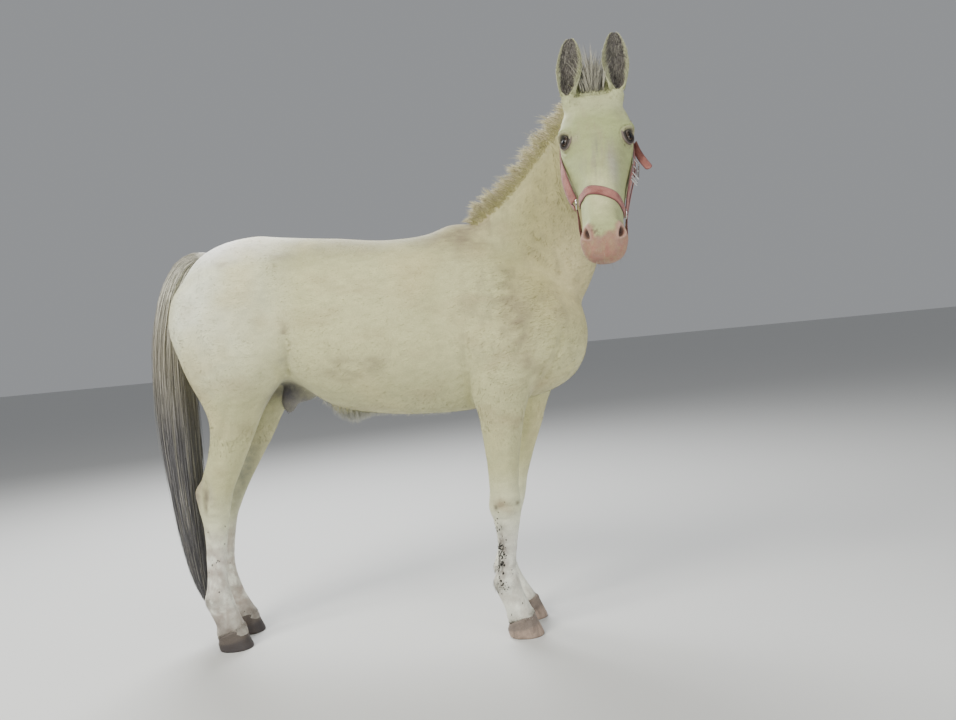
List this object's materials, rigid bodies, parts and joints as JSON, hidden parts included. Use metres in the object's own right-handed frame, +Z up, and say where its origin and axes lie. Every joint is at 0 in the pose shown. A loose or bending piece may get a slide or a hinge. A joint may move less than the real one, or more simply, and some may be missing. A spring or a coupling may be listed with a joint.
{
  "type": "mule",
  "caption": "Life-size standing mule, head turned to its right, with long ears, short mane, long tail and a webbing halter; a still display model that stands on its hooves.",
  "frame": {"origin": "on the floor, under the middle of the box round the whole model", "axes": "+X from tail to chest, +Y to the mule's left, +Z up; the head is turned towards -Y"},
  "size_m": [1.7422, 0.8448, 1.8166],
  "materials": {
    "coat": "short matt hair",
    "hair": "long coarse hair",
    "hoof": "dull horn",
    "eye": "wet gloss",
    "webbing": "faded woven webbing",
    "metal": "worn plated"
  },
  "bodies": {
    "root": {"leg_front_right": "coat", "leg_front_left": "coat", "leg_hind_right": "coat", "leg_hind_left": "coat", "torso": "coat", "hoof_front_right": "hoof", "hoof_front_left": "hoof", "hoof_hind_right": "hoof", "hoof_hind_left": "hoof", "ear_right": "coat", "ear_left": "coat", "head": "coat", "eye_left": "eye", "eye_right": "eye", "neck": "coat", "tail": "hair", "halter_noseband": "webbing", "halter_crown_strap": "webbing", "halter_cheek_strap_left": "webbing", "halter_jaw_strap_left": "webbing", "halter_cheek_strap_right": "webbing", "halter_jaw_strap_right": "webbing", "halter_chin_strap": "webbing", "halter_ring_right": "metal", "halter_ring_left": "metal", "halter_ring_chin": "metal", "halter_buckle": "metal", "halter_loose_end": "webbing"}
  },
  "joints": []
}
